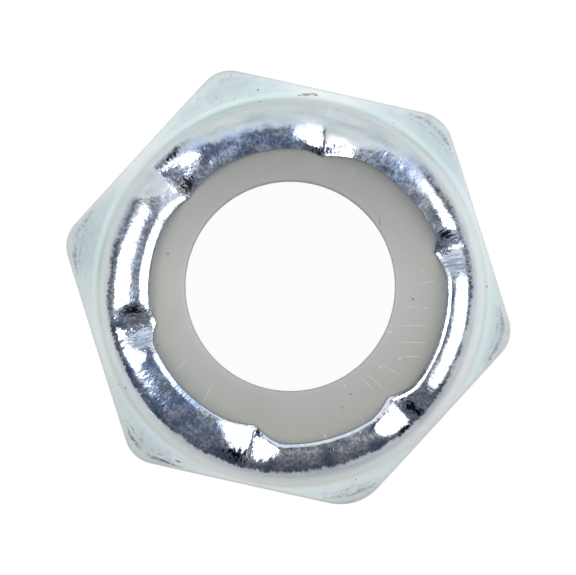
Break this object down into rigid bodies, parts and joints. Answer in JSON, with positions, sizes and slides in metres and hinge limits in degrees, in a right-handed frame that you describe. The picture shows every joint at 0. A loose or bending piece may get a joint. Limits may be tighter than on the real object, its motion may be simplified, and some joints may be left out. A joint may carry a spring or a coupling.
{
  "type": "lock nut",
  "caption": "Hexagon lock nut whose collar is rolled and crimped over a nylon ring that grips the bolt's thread.",
  "frame": {"origin": "centre of the bearing face, on the axis of the thread", "axes": "+Z along the thread towards the crimped collar, +X through a corner of the hexagon, +Y square to a flat"},
  "size_m": [0.0162, 0.0142, 0.0115],
  "materials": {
    "zinc_steel": "bright zinc plating with a blue passivation, satin on the hexagon and burnished on the rolled collar",
    "nylon": "natural greyish white nylon, slightly translucent"
  },
  "bodies": {
    "root": {"nut_body": "zinc_steel", "nylon_ring": "nylon"}
  },
  "joints": []
}
